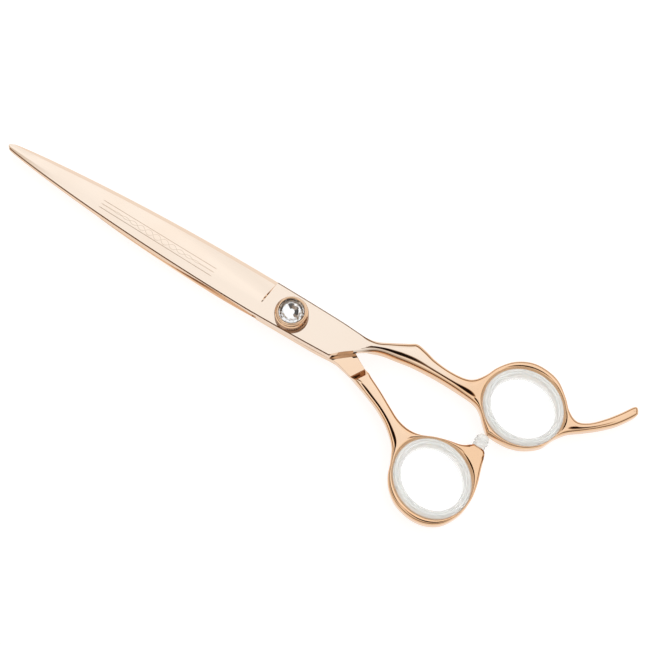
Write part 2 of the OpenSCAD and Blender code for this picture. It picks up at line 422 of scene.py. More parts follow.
@dataclass(frozen=True)
class RoseGoldPolish:
    """Mirror polished rose gold coating, pale on the blades and deeper on the handles, with painted highlight
    on flat crowns and painted shade on steep walls.

    Attributes:
        name: The material's name.
        blade_colour, handle_colour: The coating on the blades' flats, and on the shanks and rings.
        worn_colour: Patches where the coating is a little thinner.
        knurl_shade_colour: Painted shade on the steep outer sides of the knurled nut.
        cut_colour: The bottom of the engraved lines.
        shank_x, ring_x, wall_shade_end_x: Where the shank's colour, the ring's colour and the walls' painted
            shade
        run in or out, in millimetres along the shears.
        crown_highlight_share: How much of the deep colour the crown of the shank lacks: a painted highlight
            that pales its flat top.
        ring_share: How much of that painted highlight the rings lose again.
        wall_shade_share: Painted shade: how much of the deep colour the steep walls of the blades and the
            heel have.
        plunge_shade_share: Painted shade: how much of the deep colour the plunge line has.
        knurl_shade_share, cut_share, worn_share: Strength of those colours.
        polish, haze_rough, hairline_rough, cut_rough: Roughness of the polish and what adds to it.
        engraved: Whether the piece carries the engraved lines.
        knurled: Whether its knurled sides get the painted shade.
    """

    name: str
    blade_colour: Colour = rgb(0.80, 0.69, 0.59)
    handle_colour: Colour = rgb(0.77, 0.505, 0.31)
    worn_colour: Colour = rgb(0.72, 0.46, 0.28)
    knurl_shade_colour: Colour = rgb(0.22, 0.10, 0.045)
    cut_colour: Colour = rgb(0.42, 0.27, 0.17)
    shank_x: Point = (20.0, 48.0)
    ring_x: Point = (44.0, 62.0)
    wall_shade_end_x: Point = (24.0, 44.0)
    crown_highlight_share: float = 0.72
    ring_share: float = 0.65
    wall_shade_share: float = 0.6
    plunge_shade_share: float = 0.6
    knurl_shade_share: float = 0.85
    cut_share: float = 0.75
    worn_share: float = 0.10
    polish: float = 0.05
    haze_rough: float = 0.035
    hairline_rough: float = 0.03
    cut_rough: float = 0.3
    engraved: bool = False
    knurled: bool = False

    def make(self) -> bpy.types.Material:
        """Builds the material: depth of colour with painted highlight and shade, worn patches, painted shade
        on the knurled sides, haze, hairlines and engraved lines.
        """
        sheet = Coat(self.name)
        x, y, z = sheet.axis("X"), sheet.axis("Y"), sheet.axis("Z")
        normal = sheet.node("ShaderNodeTexCoord", {}, {}, "Normal")
        crown = sheet.part(normal, "Z").absolute().rise(0.8, 1.0)
        tone = sheet.colour_mix(self.depth(sheet, x, normal, crown), self.blade_colour, self.handle_colour)
        worn = sheet.noise(55.0, 3.0).rise(0.45, 0.8)
        tone = sheet.colour_mix(worn * self.worn_share, tone, self.worn_colour)
        if self.knurled:
            # Painted shade: the steep outer sides of the knurled nut are darkened.
            side = (1.0 - crown) * (x * x + y * y).rise(25.4, 26.4)
            tone = sheet.colour_mix(side * self.knurl_shade_share, tone, self.knurl_shade_colour)
        haze = sheet.noise(260.0, 4.0)
        hairlines = sheet.noise(900.0, 2.0, (0.12, 2.2, 2.2)).rise(0.62, 0.78)
        rough = self.polish + haze * self.haze_rough + hairlines * self.hairline_rough
        height = hairlines * -0.15 + haze * 0.1
        if self.engraved:
            lines = self.engraving(x, y, z)
            tone = sheet.colour_mix(lines * self.cut_share, tone, self.cut_colour)
            rough = rough + lines * self.cut_rough
            height = height - lines
        sheet.set(Base_Color=tone, Roughness=rough, Metallic=1.0)
        sheet.bump(height, 0.12, 0.00004)
        return sheet.material

    def depth(self, sheet: Coat, x: Signal, normal: Signal, crown: Signal) -> Signal:
        """How deep the colour is: more on the shanks and rings, painted shade on the blades' steep walls and
        at the plunge line, and less where a painted highlight pales the shank's flat crown.

        Args:
            sheet: The material's node sheet.
            x: Place along the shears, in millimetres.
            normal: The surface's direction on the piece.
            crown: 1 on faces that lie flat, 0 on steep ones.

        Returns:
            The depth, from 0 to 1.
        """
        level, back = sheet.part(normal, "Z").absolute(), sheet.part(normal, "X").absolute()
        # Painted highlight: flat, upward faces of the shank are paled towards the blade colour, less so on
        # the rings.
        pale = crown * self.crown_highlight_share * (1.0 - x.rise(*self.ring_x) * self.ring_share)
        shank = x.rise(*self.shank_x) * (1.0 - pale)
        # Painted shade: steep walls of the blades and the heel take the deep colour.
        walls = (1.0 - level.rise(0.55, 0.95)) * self.wall_shade_share * (1.0 - x.rise(*self.wall_shade_end_x))
        # Painted shade along the plunge line, where the face turns up towards the heel.
        plunge = back.rise(0.2, 0.45) * x.rise(-12.0, -11.5) * (1.0 - x.rise(-8.0, -7.5)) * self.plunge_shade_share
        return (shank + walls + plunge).rise(0.0, 1.0)

    @staticmethod
    def engraving(x: Signal, y: Signal, z: Signal) -> Signal:
        """Two fine lines along the upper blade, with a double wave between them that swells and fades.

        Args:
            x: Place along the blade, in millimetres.
            y: Place across the blade, in millimetres.
            z: Height, in millimetres.

        Returns:
            A mask, 1 in the cuts.
        """
        span = x.rise(-71.0, -70.0) * (1.0 - x.rise(-28.5, -27.5)) * z.rise(4.5, 4.6)
        cuts: Value = 0.0
        for slope, offset in ((-0.0093, 0.06), (-0.0163, -3.03)):
            cuts = cuts + (1.0 - (y - (x * slope + offset)).absolute().rise(0.04, 0.13))
        swell = x.rise(-69.0, -49.0) * (1.0 - x.rise(-49.0, -29.0))
        swing = (x * 1.05).sine() * (0.1 + swell * 0.85)
        for way in (1.0, -1.0):
            wave = (y - (x * -0.0128 - 1.49 + swing * way)).absolute()
            cuts = cuts + (1.0 - wave.rise(0.03, 0.16)) * 0.45
        return cuts * span


@dataclass(frozen=True)
class ClearSilicone:
    """Translucent soft silicone, faintly green grey, with a satin skin."""

    name: str
    colour: Colour = rgb(0.975, 0.985, 0.98)
    cloud_colour: Colour = rgb(0.90, 0.935, 0.92)
    glow_colour: Colour = rgb(0.97, 1.0, 0.985)
    glow: float = 0.05
    clearness: float = 0.66

    def make(self) -> bpy.types.Material:
        """Builds the material: cloudy patches, a fine moulded grain and a faint painted glow."""
        sheet = Coat(self.name)
        cloud = sheet.noise(160.0, 3.0)
        grain = sheet.noise(1500.0, 2.0)
        # The emission is painted light: the silicone glows faintly though it is no lamp.
        sheet.set(
            Base_Color=sheet.colour_mix(cloud.rise(0.3, 0.7) * 0.4, self.colour, self.cloud_colour),
            Roughness=0.07 + cloud * 0.14, IOR=1.41, Transmission_Weight=self.clearness,
            Emission_Color=self.glow_colour, Emission_Strength=self.glow,
        )
        sheet.bump(grain * 0.3 + cloud, 0.12, 0.0001)
        return sheet.material


@dataclass(frozen=True)
class TurnedMetal:
    """Machined metal with fine rings from the lathe."""

    name: str
    colour: Colour
    roughness: float = 0.22
    rings_per_metre: float = 52000.0
    stain_darkness: float = 0.7

    def make(self) -> bpy.types.Material:
        """Builds the material: turning rings about the pivot and stains of oil."""
        sheet = Coat(self.name)
        place = sheet.place()
        flat = sheet.node("ShaderNodeVectorMath", {"operation": "MULTIPLY"}, {0: place, 1: (1.0, 1.0, 0.0)})
        radius = sheet.node("ShaderNodeVectorMath", {"operation": "LENGTH"}, {0: flat}, "Value")
        rings = (radius * self.rings_per_metre).sine()
        stain = sheet.noise(500.0, 3.0)
        dark = rgb(*(c * self.stain_darkness for c in self.colour[:3]))
        sheet.set(
            Base_Color=sheet.colour_mix(stain.rise(0.5, 0.8) * 0.5, self.colour, dark),
            Roughness=self.roughness + stain * 0.12 + rings * 0.03, Metallic=1.0,
        )
        sheet.bump(rings * 0.5 + stain * 0.3, 0.15, 0.00002)
        return sheet.material


@dataclass(frozen=True)
class WasherSheet:
    """White low-friction plastic sheet."""

    name: str

    def make(self) -> bpy.types.Material:
        """Builds the material: skived streaks and a faint mottle."""
        sheet = Coat(self.name)
        streaks = sheet.noise(700.0, 3.0, (0.2, 2.0, 1.0))
        sheet.set(
            Base_Color=sheet.colour_mix(streaks.rise(0.3, 0.8), rgb(0.86, 0.86, 0.83), rgb(0.76, 0.76, 0.72)),
            Roughness=0.45 + streaks * 0.15,
        )
        sheet.bump(streaks, 0.2, 0.00005)
        return sheet.material


@dataclass(frozen=True)
class CutCrystal:
    """Clear cut crystal."""

    name: str

    def make(self) -> bpy.types.Material:
        """Builds the material: clean glass with the faintest polishing marks."""
        sheet = Coat(self.name)
        marks = sheet.noise(1800.0, 2.0)
        sheet.set(
            Base_Color=sheet.colour_mix(marks, rgb(0.97, 0.985, 1.0), rgb(1.0, 1.0, 1.0)),
            Roughness=marks.rise(0.55, 0.9) * 0.03, IOR=1.58, Transmission_Weight=1.0,
        )
        return sheet.material


@dataclass(frozen=True)
class FoilBacking:
    """Silver foil on the crystal's back."""

    name: str

    def make(self) -> bpy.types.Material:
        """Builds the material: bright foil with a slight crinkle."""
        sheet = Coat(self.name)
        crinkle = sheet.noise(900.0, 2.0)
        sheet.set(
            Base_Color=sheet.colour_mix(crinkle, rgb(0.93, 0.94, 0.95), rgb(0.86, 0.88, 0.9)),
            Roughness=0.05 + crinkle * 0.05, Metallic=1.0,
        )
        return sheet.material


# ----------------------------------------------------------------------------------------------------
# The two forged halves


@dataclass(frozen=True)
class Rim:
    """How a face turns into the wall.

    Attributes:
        width: Width of the turn.
        wall: Share of the height that stays a straight wall.
        flat: 0 for a round turn, 1 for a straight chamfer.
    """

    width: float
    wall: float
    flat: float = 0.0

    def towards(self, other: "Rim", t: float) -> "Rim":
        """The rim a share t of the way to another."""
        width, wall = blend(self.width, other.width, t), blend(self.wall, other.wall, t)
        return Rim(width, wall, blend(self.flat, other.flat, t))


class Side(IntEnum):
    """Which of the two halves; the lower one is turned over at the end."""

    UPPER = 1
    LOWER = -1


@dataclass
class Hole:
    """A closed opening through a half, with its own steps from the underside to the outer face."""

    rim: list[Vector]
    outward: list[Vector]
    below: list[Point]
    above: list[Point]

    @staticmethod
    def oval(centre: Point, a: float, b: float, turn: float, steps: int = 200) -> tuple[list, list]:
        """Points of an oval and the directions away from its middle.

        Args:
            centre: The oval's middle.
            a: Half of its length.
            b: Half of its width.
            turn: The turn of its length from +X, in degrees.
            steps: How many points it has.

        Returns:
            The points and the outward directions.
        """
        rim, outward = [], []
        spin = Matrix.Rotation(math.radians(turn), 2)
        for i in range(steps):
            g = 2 * math.pi * i / steps
            rim.append(Vector(centre) + spin @ Vector((a * math.cos(g), b * math.sin(g))))
            outward.append((spin @ Vector((math.cos(g) / a, math.sin(g) / b))).normalized())
        return rim, outward


EDGE_CHAMFER = Rim(0.34, 0.88, 1.0)
SPINE_CHAMFER = Rim(0.3, 0.83, 1.0)
LEANING_WALL = Rim(0.55, 0.06, 1.0)
FULL_CROWN = Rim(3.0, 0.2)
SLIM_CROWN = Rim(3.0, 0.5)
SHARP_INNER = Rim(0.15, 0.92)
LEANING_INNER = Rim(0.55, 0.02, 1.0)
INNER_CROWN = (2.3, 3.0)
LUG_CHAMFER = Rim(0.55, 0.8, 1.0)
HOLE_ROUND = Rim(1.7, 0.42)
BORE_STEPS = 96
BUSH_HOLE_R, BOLT_HOLE_R = 3.42, 2.5
POCKET_R, POCKET_FLAT, POCKET_FLAT_END, POCKET_FLOOR = 4.22, 3.42, 2.47, 0.09


@dataclass
class Half:
    """One forged half: blade, flat heel, shank and ring in one continuous skin.

    Attributes:
        name: Name of the piece and of its CAD node.
        body: Body that it rides on.
        side: Which half it is.
        runs: Outline from the heel's edge side round the handle to its spine side, in smooth runs.
        heel_edge, heel_spine: Walls of the heel in front of the outline.
        ring_centre, ring_turn, ring_size: The opening for the insert.
        step_at, step_dir: A point on the step's top edge, and the direction in which the step rises.
        round_from: Where the heel starts to turn into the crowned shank.
        thin_from, thin_to: Where the shank's height falls to the ring's.
        inner_walls, inner_wall_x: Straight wall's share on the inner side, and where it changes.
        crisp_at: Middle of the lug, where the rounding is small; None where there is no lug.
        spacing, rim_steps, face_points, inner_points: Fineness of the mesh.
        face_drop, ring_drop: How much lower the shank's face is than the heel's, and the ring's than that.
        step_run: How far the step runs back.
        corner_x, corner_y: Where the upper heel's back corner starts to lean, and up to which y.
        heel_cut, spine_cut, heel_foot: Chamfers and inner rounding of the heel.
        tip_reach, tip_half, tip_round, tip_t: Reach, half width, rounding and height of the tip.
        edge_half, blade_len, spine_ratio, blade_off: Half width of the blade and where it is reached,
            the spine's share of it, and the blade's shift to the side.
        bevel_w, bevel_share, bevel_slope: Width of the bevel, its greatest share of the blade, its slope.
        face_slope, face_power, face_start: Fall of the blade's face towards the bevel.
        spine_chamfer, spine_draft, spine_foot: Chamfer, lean and inner rounding of the spine.
        edge_pull, pull_run, edge_trim: How far the edge is drawn in at the heel and near the tip.
        plunge_x, plunge_slant, plunge_w, plunge_steps: Place, slant, width and steps of the plunge line.
    """

    name: str
    body: str
    side: Side
    runs: list[list[Point]]
    heel_edge: list[Point]
    heel_spine: list[Point]
    ring_centre: Point
    ring_turn: float
    ring_size: Point
    step_at: Point
    step_dir: Point
    round_from: float
    thin_from: float
    thin_to: float
    inner_walls: Point
    inner_wall_x: Point
    crisp_at: Optional[Point] = None
    spacing: float = 0.45
    rim_steps: int = 8
    face_points: int = 22
    inner_points: int = 3
    face_drop: float = 0.5
    ring_drop: float = 0.4
    step_run: float = 2.5
    corner_x: Point = (16.6, 18.5)
    corner_y: float = 4.0
    heel_cut: Point = (0.34, 0.21)
    spine_cut: Point = (0.3, 0.3)
    heel_foot: float = 0.15
    tip_reach: float = 106.95
    tip_half: float = 1.1
    tip_round: float = 1.35
    tip_t: float = 1.4
    edge_half: float = 7.1
    blade_len: float = 98.0
    spine_ratio: float = 0.88
    blade_off: float = 0.4
    bevel_w: float = 1.5
    bevel_share: float = 0.42
    bevel_slope: float = 1.05
    face_slope: float = 0.34
    face_power: float = 1.45
    face_start: float = -0.35
    spine_chamfer: float = 0.32
    spine_draft: float = 0.0
    spine_foot: float = 0.1
    edge_pull: float = 0.0
    pull_run: float = 36.0
    edge_trim: float = 0.0
    plunge_x: float = -9.1
    plunge_slant: float = 0.1
    plunge_w: float = 0.65
    plunge_steps: tuple = (0.06, 0.5, 0.8, 0.93, 1.0)

    # Heights

    def top_z(self, x: float) -> float:
        """Height of the outer face of the handle at x."""
        low = ease(self.round_from, self.round_from + 12, x)
        return TOP - self.face_drop * low - self.ring_drop * ease(self.thin_from, self.thin_to, x)

    def step_place(self, x: float, y: float) -> float:
        """Distance past the step's top edge, in the direction of the shank."""
        nx, ny = self.step_dir
        return (x - self.step_at[0]) * nx + (y - self.step_at[1]) * ny

    def under_z(self, x: float, y: float) -> float:
        """Height of the inner face, which drops from the meeting plane to full depth at the step."""
        t = min(max(1 + self.step_place(x, y) / self.step_run, 0.0), 1.0)
        full = self.face_drop + self.ring_drop * ease(self.thin_from, self.thin_to, x)
        lip, gentle = 0.14, 0.5
        share = t * gentle if t < lip else blend(lip * gentle, 1.0, (t - lip) / (1 - lip))
        return blend(MEETING + RIDE_GAP / 2, full, share)

    def middle_z(self, x: float) -> float:
        """Height that divides the outer rounding from the inner one."""
        return blend(5.25, MEETING, ease(20.0, 36.0, x))

    # Rim of the handle

    def at_corner(self, p: Vector) -> float:
        """1 behind the upper heel's back corner on the spine side, where the wall leans, and 0 before it."""
        return ease(*self.corner_x, p.x) if self.side is Side.UPPER and p.y < self.corner_y else 0.0

    def outer_rim(self, p: Vector) -> Rim:
        """Rim of the outer face at a point of the outline: flat chamfers on the heel, then a full crown."""
        heel = EDGE_CHAMFER if p.y > 0 else SPINE_CHAMFER.towards(LEANING_WALL, self.at_corner(p))
        crown = FULL_CROWN.towards(SLIM_CROWN, ease(30.0, 50.0, p.x))
        return self.near_lug(p, heel.towards(crown, ease(self.round_from - 3, self.round_from + 9, p.x)))

    def inner_rim(self, p: Vector) -> Rim:
        """Rim of the inner face at a point of the outline: nearly sharp on the heel, full past the step."""
        past = self.step_place(p.x, p.y)
        heel = SHARP_INNER.towards(LEANING_INNER, self.at_corner(p))
        wall = blend(*self.inner_walls, ease(*self.inner_wall_x, p.x))
        full = Rim(blend(*INNER_CROWN, ease(2.0, 16.0, past)), wall)
        return self.near_lug(p, heel.towards(full, ease(-1.2, 1.4, past)))

    def near_lug(self, p: Vector, rim: Rim) -> Rim:
        """Turns a rim into a small flat chamfer near the lug."""
        if self.crisp_at is None:
            return rim
        return LUG_CHAMFER.towards(rim, ease(2.6, 6.0, (p - Vector(self.crisp_at)).length))

    @staticmethod
    def hole_rim(_: Vector) -> Rim:
        """Rounding of the ring's opening, the same all round."""
        return HOLE_ROUND

    @staticmethod
    def inward(path: Sequence[Vector]) -> list[Vector]:
        """Directions into the metal from the points of the open outline, stretched at corners."""
        out = []
        for i, p in enumerate(path):
            sides = []
            if i > 0:
                sides.append((p - path[i - 1]).normalized())
            if i < len(path) - 1:
                sides.append((path[i + 1] - p).normalized())
            normals = [Vector((t.y, -t.x)) for t in sides]
            if len(normals) == 1:
                out.append(Vector((0.0, math.copysign(1.0, normals[0].y))))
            else:
                whole = normals[0] + normals[1]
                out.append(whole / max(1 + normals[0].dot(normals[1]), 0.7))
        return out

    @staticmethod
    def room(p: Vector, way: Vector, walls: Sequence[tuple[Vector, Vector]]) -> float:
        """Distance from a point across the metal to the next wall."""
        best = FAR
        start = p + way * 0.01
        for a, b in walls:
            e = b - a
            det = way.x * -e.y + e.x * way.y
            if abs(det) < PARALLEL:
                continue
            d = a - start
            t = (d.x * -e.y + e.x * d.y) / det
            s = (way.x * d.y - way.y * d.x) / det
            if 0 <= s <= 1 and 0.05 < t < best:
                best = t
        return best

    def widths(self, path: Sequence, ways: Sequence, walls: list, rim: Callable, closed: bool) -> list:
        """Rounding widths along a path, kept under half of the metal's width and evened out.

        Args:
            path: The outline's points.
            ways: The directions into the metal.
            walls: All walls of the half, as pairs of points.
            rim: Gives the wanted rim at a point.
            closed: Whether the path is a closed loop.

        Returns:
            The width at each point.
        """
        most, evening = 0.48, 25
        limits = [min(rim(p).width, most * self.room(p, w.normalized(), walls)) for p, w in zip(path, ways)]
        now = list(limits)
        n = len(now)
        for _ in range(evening):
            before = list(now)
            for i in range(n):
                a = before[i - 1] if i > 0 or closed else before[0]
                b = before[(i + 1) % n] if i < n - 1 or closed else before[-1]
                now[i] = min(limits[i], (a + before[i] + b) / 3)
        return now

    def ladder(
        self, path: list, ways: list, outer: list, inner: list, over: Callable, under: Callable
    ) -> list:
        """Places of the rings of a rim, from the inner face over the wall to the outer face.

        Args:
            path: The outline's points.
            ways: The directions into the metal.
            outer: The outer face's rounding widths.
            inner: The inner face's rounding widths.
            over: Gives the outer rim at a point.
            under: Gives the inner rim at a point.

        Returns:
            One list of places for each ring; the height is -1 at the inner face and 1 at the outer.
        """
        rings = []
        for sign, sizes, kind in ((-1, inner, under), (1, outer, over)):
            order = range(self.rim_steps, -1, -1) if sign < 0 else range(self.rim_steps + 1)
            rims = [kind(p) for p in path]
            for k in order:
                t = k / self.rim_steps
                a = QUARTER * t
                ring = []
                for p, way, w, rim in zip(path, ways, sizes, rims):
                    at = p + way * (w * blend(1 - math.cos(a), t, rim.flat))
                    up = rim.wall + (1 - rim.wall) * blend(math.sin(a), t, rim.flat)
                    ring.append(Vector((at.x, at.y, sign * up)))
                rings.append(ring)
        return rings

    def pivot_hole(self) -> Hole:
        """The stepped bore for the bush, or the keyed bore for the bolt."""
        if self.side is Side.UPPER:
            steps = [(1.9, -1), (1.9, -0.86), (0, -0.86)], [(0, 0.65), (1.1, 0.65), (1.1, 1)]
            return Hole(*Hole.oval((0, 0), BUSH_HOLE_R, BUSH_HOLE_R, 0, BORE_STEPS), *steps)
        steps = [(2.8, -1), (2.8, -0.86), (0, -0.86)], [(0, POCKET_FLOOR)]
        return Hole(*Hole.oval((0, 0), BOLT_HOLE_R, BOLT_HOLE_R, 0, BORE_STEPS), *steps)

    def handle(self, bm: bmesh.types.BMesh) -> list:
        """Builds the handle and the flat heel, open at the blade's end.

        Args:
            bm: The mesh to build in.

        Returns:
            The vertices of the open end, in order round it.
        """
        path = joined_runs(self.runs, self.spacing)
        ways = self.inward(path)
        opening, away = Hole.oval(self.ring_centre, *self.ring_size, self.ring_turn)
        walls = list(zip(path, path[1:])) + list(zip(opening, opening[1:] + opening[:1]))
        outer = self.widths(path, ways, walls, self.outer_rim, False)
        inner = self.widths(path, ways, walls, self.inner_rim, False)
        places = self.ladder(path, ways, outer, inner, self.outer_rim, self.inner_rim)
        rings = [first_ring(bm, places[0], False)]
        for level in places[1:]:
            rings.append(sweep(bm, rings[-1], level, False))

        hole_w = self.widths(opening, away, walls, self.hole_rim, True)
        lip = self.ladder(opening, away, hole_w, hole_w, self.hole_rim, self.hole_rim)
        holes = [first_ring(bm, lip[0], True)]
        for level in lip[1:]:
            holes.append(sweep(bm, holes[-1], level, True))

        bore = self.pivot_hole()
        steps = [[Vector((p.x + n.x * o, p.y + n.y * o, h)) for p, n in zip(bore.rim, bore.outward)]
                 for o, h in bore.below + bore.above]
        if self.side is Side.LOWER:
            steps += self.key_pocket()
        bores = [first_ring(bm, steps[0], True)]
        for level in steps[1:]:
            bores.append(sweep(bm, bores[-1], level, True))

        for sign, end in ((-1, 0), (1, -1)):
            edges = [edge for loops in (rings, holes, bores) for edge in ring_edges(bm, loops[end], True)]
            made = bmesh.ops.triangle_fill(bm, use_beauty=True, edges=edges, normal=(0, 0, sign))
            self.cut_cap(bm, [g for g in made["geom"] if isinstance(g, bmesh.types.BMFace)])
        self.cut_step(bm)
        for v in bm.verts:
            mid = self.middle_z(v.co.x)
            if v.co.z >= 0:
                v.co.z = mid + (self.top_z(v.co.x) - mid) * v.co.z
            else:
                v.co.z = mid + (mid - self.under_z(v.co.x, v.co.y)) * v.co.z
        near = [r[0] for r in rings]
        far = [r[-1] for r in reversed(rings)]
        over = self.split_edge(bm, near, far, self.face_points)
        return over + self.split_edge(bm, far, near, self.inner_points)

    @staticmethod
    def key_pocket() -> list[list[Vector]]:
        """Rings of the pocket with two flats for the bolt's head, from its floor to the outer face."""
        floor, mouth = [], []
        for i in range(BORE_STEPS):
            g = 2 * math.pi * i / BORE_STEPS
            x = min(max(POCKET_R * math.cos(g), -POCKET_FLAT), POCKET_FLAT)
            y = math.copysign(math.sqrt(max(POCKET_R**2 - x * x, 0.0)), math.sin(g))
            if abs(x) >= POCKET_FLAT - NEARLY_NONE:
                y = min(max(POCKET_R * math.sin(g), -POCKET_FLAT_END), POCKET_FLAT_END)
            floor.append(Vector((x, y, POCKET_FLOOR)))
            mouth.append(Vector((x, y, 1.0)))
        return [floor, mouth]

    @staticmethod
    def split_edge(bm: bmesh.types.BMesh, one: list, other: list, cuts: int) -> list:
        """The vertices of one side of the open end, and those made by splitting the edge to the next side."""
        edge = bm.edges.get((one[-1], other[0]))
        near, fresh = one[-1], []
        for left in range(cuts, 0, -1):
            edge, near = bmesh.utils.edge_split(edge, near, 1 / (left + 1))
            fresh.append(near)
            edge = next(e for e in near.link_edges if other[0] in e.verts)
        return list(one) + fresh

    def cut_cap(self, bm: bmesh.types.BMesh, faces: list) -> None:
        """Cuts a flat cap across, where its height will change."""
        x, spacing = self.round_from - 2, 1.5
        while x < self.thin_to + 1:
            made = bmesh.ops.bisect_plane(
                bm, geom=with_edges(faces), dist=CUT_GAP, plane_co=(x, 0, 0), plane_no=(1, 0, 0)
            )
            faces = [g for g in made["geom"] if isinstance(g, bmesh.types.BMFace)]
            x += spacing

    def cut_step(self, bm: bmesh.types.BMesh) -> None:
        """Cuts the skin finely along the step."""
        count = 10
        for i in range(count + 1):
            at = Vector(self.step_at) - Vector(self.step_dir) * (self.step_run * i / count)
            geom = with_edges([f for f in bm.faces if self.by_step(f)])
            bmesh.ops.bisect_plane(
                bm, geom=geom, dist=CUT_GAP, plane_co=(*at, 0), plane_no=(*self.step_dir, 0)
            )

    def by_step(self, face: bmesh.types.BMFace) -> bool:
        """Whether a face lies near the step, below the outer face."""
        xs = [v.co.x for v in face.verts]
        near = min(xs) < self.step_at[0] + 12 and max(xs) > self.step_at[0] - 12
        return near and face.calc_center_median().z < 0.95

    # Blade

    def edge_at(self, u: float) -> float:
        """Half width of the blade at a distance u from the tip."""
        nose = math.sqrt(max(1 - (1 - u / self.tip_round) ** 2, 0.0)) if u < self.tip_round else 1.0
        return self.tip_half * nose + (self.edge_half - self.tip_half) * math.sin(
            QUARTER * min(u / self.blade_len, 1.0) ** 0.8
        )

    def section(self, u: float) -> list[Point]:
        """Cross-section of the blade: y and height above the inner face, in the order of the open end.

        Args:
            u: Distance from the tip.

        Returns:
            One point for each vertex of the ring.
        """
        k = self.rim_steps
        h = self.edge_at(u)
        s = self.spine_ratio * h
        h -= self.edge_pull * max(1 - (self.tip_reach + self.plunge_x - u) / self.pull_run, 0.0) ** 3
        h -= min(self.edge_trim, 0.3 * h) * (1 - ease(22.0, 52.0, u))
        w = min(self.bevel_w, self.bevel_share * h)
        t = blend(self.tip_t, TOP - MEETING, u / self.blade_len) - RIDE_GAP / 2
        c = min(self.spine_chamfer, 0.3 * s)
        flat = self.face_start * h
        fall = self.face_slope * (h - w - flat) / self.face_power
        rise = min(max(t - fall, self.bevel_slope * w), 0.94 * t)
        foot = s + min(self.spine_draft * (t - c) * (1 - ease(55.0, 88.0, u)), 0.25 * s)
        land, back = 0.03, h - 0.25 * w
        out = [(h - 0.25 * w * (k - i) / k, 0.0) for i in range(k + 1)]
        out += [(h - w * i / k, land + (rise - land) * i / k) for i in range(k + 1)]
        for i in range(1, self.face_points + 1):
            y = blend(h - w, c - s, i / (self.face_points + 1))
            drop = max((y - flat) / (h - w - flat), 0.0) if h - w > flat else 0.0
            out.append((y, t - (t - rise) * drop**self.face_power))
        out += [(c * (1 - i / k) - s, t - c * i / k) for i in range(k + 1)]
        r = self.spine_foot
        turns = [QUARTER * i / k for i in range(k + 1)]
        out += [(r * (1 - math.cos(a)) - foot, r * (1 - math.sin(a))) for a in turns]
        cuts = self.inner_points + 1
        return out + [(blend(r - foot, back, i / cuts), 0.0) for i in range(1, cuts)]

    def heel_section(self) -> list[Point]:
        """Cross-section of the flat heel at the plunge line, in the same order as the blade's."""
        k, r = self.rim_steps, self.heel_foot
        low = RIDE_GAP / 2 + MEETING
        edge, spine = height_on(self.heel_edge, self.plunge_x), height_on(self.heel_spine, self.plunge_x)
        turns = [QUARTER * i / k for i in reversed(range(k + 1))]
        sides = []
        for y, way, (wide, tall) in ((edge, -1, self.heel_cut), (spine, 1, self.spine_cut)):
            under = [(y + way * r * (1 - math.cos(a)), low + r * (1 - math.sin(a))) for a in turns]
            over = [(y + way * wide * i / k, TOP - tall * (1 - i / k)) for i in range(k + 1)]
            sides.append((under + over)[::-way])
        cuts = self.face_points + 1
        near, far = edge - self.heel_cut[0], spine + self.spine_cut[0]
        across = [(blend(near, far, i / cuts), TOP) for i in range(1, cuts)]
        cuts = self.inner_points + 1
        back = [(blend(spine + r, edge - r, i / cuts), low) for i in range(1, cuts)]
        return sides[0] + across + sides[1] + back

    def plunge_at(self, y: float) -> float:
        """Where the plunge line crosses the face at y."""
        return self.plunge_x - self.plunge_slant * (self.edge_half - y)

    def blade(self, bm: bmesh.types.BMesh, ring: list) -> None:
        """Builds the front of the heel, the plunge line and the blade out of the open end."""
        centre = self.blade_off * self.side
        low = MEETING + RIDE_GAP / 2
        heel = self.heel_section()
        ring = sweep(bm, ring, [Vector((self.plunge_at(y), y, z)) for y, z in heel], True)
        start = self.tip_reach + self.plunge_x - self.plunge_w
        root = [(centre + y, low + z) for y, z in self.section(start)]
        for t in self.plunge_steps:
            fall = min(1.12 * t, 1 - (1 - t) ** 2)
            places = []
            for (y0, z0), (y1, z1) in zip(heel, root):
                x = self.plunge_at(y0) - self.plunge_w * t
                places.append(Vector((x, blend(y0, y1, fall), blend(z0, z1, fall))))
            ring = sweep(bm, ring, places, True)
        slant_run, last_whole, fine, nose_steps = 8.0, 6, 0.35, 10
        stations = [start - 1.0 - i for i in range(int(start) - last_whole)]
        u = stations[-1]
        while u > self.tip_round + fine:
            u -= fine
            stations.append(u)
        nose = [QUARTER * (1 - i / nose_steps) for i in range(1, nose_steps + 1)]
        stations += [self.tip_round * (1 - math.cos(a)) for a in nose]
        for u in stations:
            slant = max(1 - (start - u) / slant_run, 0.0)
            places = []
            for y, z in self.section(u):
                lean = (self.plunge_at(centre + y) - self.plunge_x) * slant
                places.append(Vector((u - self.tip_reach + lean, centre + y, low + z)))
            ring = sweep(bm, ring, places, True)

    def build(self, finish: bpy.types.Material) -> bpy.types.Object:
        """Builds the half, dresses it and puts it on its body.

        Args:
            finish: The metal's material.

        Returns:
            The piece.
        """
        bm = bmesh.new()
        ring = self.handle(bm)
        self.blade(bm, ring)
        bmesh.ops.remove_doubles(bm, verts=bm.verts, dist=MERGE_GAP)
        bmesh.ops.dissolve_degenerate(bm, edges=bm.edges, dist=MERGE_GAP)
        bmesh.ops.recalc_face_normals(bm, faces=bm.faces)
        crease(bm, 24.0)
        if self.side is Side.LOWER:
            up = Matrix.Translation((0, 0, MEETING))
            over = up @ Matrix.Rotation(math.pi, 4, "X") @ up.inverted()
            bmesh.ops.transform(bm, matrix=over, verts=bm.verts)
        piece = finished(bm, self.name + "_skin", self.body, self.name, "rose_gold_steel", [finish])
        even_shading(piece)
        return piece


